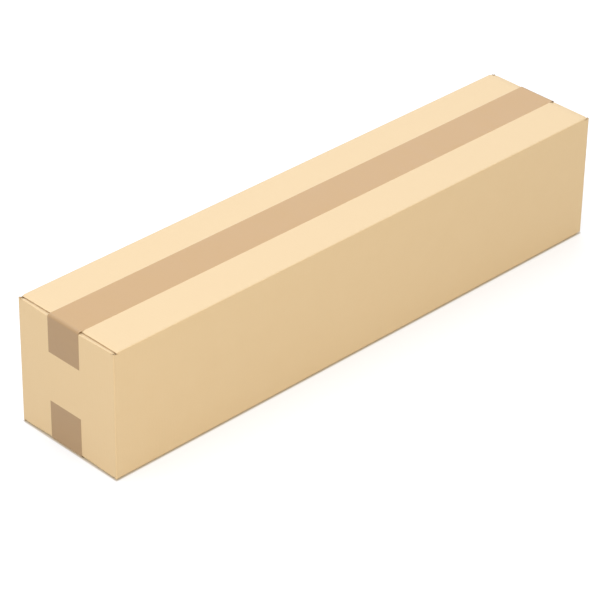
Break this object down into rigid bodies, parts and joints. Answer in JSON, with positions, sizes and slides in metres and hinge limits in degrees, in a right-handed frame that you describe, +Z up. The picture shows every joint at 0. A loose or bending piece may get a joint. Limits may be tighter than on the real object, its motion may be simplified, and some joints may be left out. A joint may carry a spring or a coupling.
{
  "type": "long shipping box",
  "caption": "Long square-section slotted carton of single-wall corrugated board, closed flat and sealed along its top and bottom seams with brown packing tape.",
  "frame": {"origin": "middle of the base, on the ground plane, at the centre of the bounding box in X and Y", "axes": "+X along the box, towards the end with the glued corner; +Y across it, towards the back side wall; +Z up"},
  "size_m": [0.7502, 0.154, 0.1609],
  "materials": {
    "kraft_board": "plain brown kraft liner, matt",
    "packing_tape": "smooth brown film, satin"
  },
  "bodies": {
    "root": {"carton": "kraft_board", "top_tape": "packing_tape", "bottom_tape": "packing_tape"}
  },
  "joints": []
}
